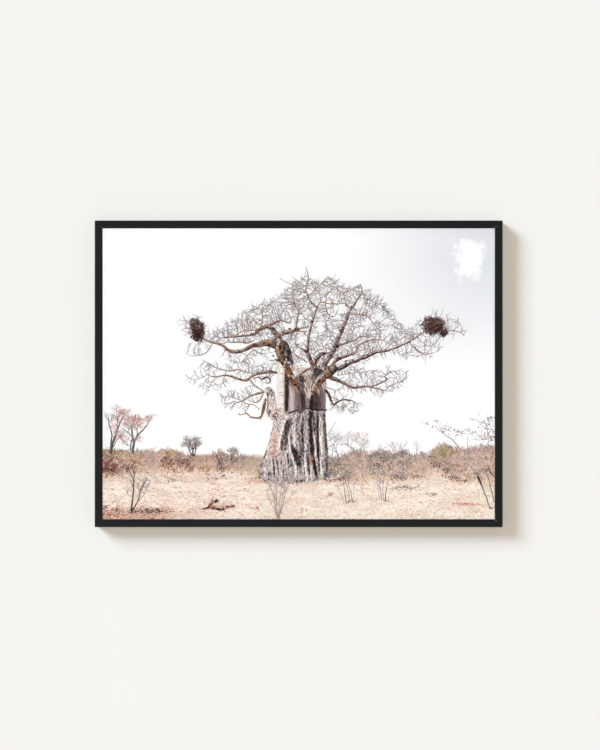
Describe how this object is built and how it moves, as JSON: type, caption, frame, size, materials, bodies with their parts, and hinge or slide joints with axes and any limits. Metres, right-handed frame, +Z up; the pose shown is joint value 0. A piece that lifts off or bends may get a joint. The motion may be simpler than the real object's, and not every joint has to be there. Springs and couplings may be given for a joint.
{
  "type": "framed print of a baobab tree",
  "caption": "Landscape print of a bare baobab on a dry plain, in a slim black mitred wooden frame with clear glazing, backing board, steel tabs and sawtooth hangers.",
  "frame": {"origin": "the middle of the top rail's back face, on the plane of the wall that the frame hangs flat against", "axes": "+X to the viewer's right, +Z up, +Y into the wall, so the picture faces -Y"},
  "size_m": [0.624, 0.025, 0.469],
  "materials": {
    "black_wood": "black stained wood, satin, with fine open grain",
    "clear_acrylic": "clear acrylic sheet with a non-reflecting face",
    "print_card": "matt coated print paper on card, printed on its front",
    "printed_ink": null,
    "hardboard": "brown hardboard with short mottled fibre",
    "zinc_steel": "bright zinc plated sheet steel",
    "brassed_steel": "thin brass plate on pressed steel"
  },
  "bodies": {
    "root": {"rail_top": "black_wood", "rail_right": "black_wood", "rail_bottom": "black_wood", "rail_left": "black_wood", "glazing": "clear_acrylic", "print": "print_card", "backing_board": "hardboard", "tab_top_1": "zinc_steel", "tab_top_2": "zinc_steel", "tab_top_3": "zinc_steel", "tab_top_4": "zinc_steel", "tab_right_1": "zinc_steel", "tab_right_2": "zinc_steel", "tab_bottom_1": "zinc_steel", "tab_bottom_2": "zinc_steel", "tab_bottom_3": "zinc_steel", "tab_bottom_4": "zinc_steel", "tab_left_1": "zinc_steel", "tab_left_2": "zinc_steel", "rivet_left_outer": "zinc_steel", "rivet_left_inner": "zinc_steel", "rivet_right_outer": "zinc_steel", "rivet_right_inner": "zinc_steel", "hanger_left": "brassed_steel", "hanger_right": "brassed_steel"}
  },
  "joints": []
}
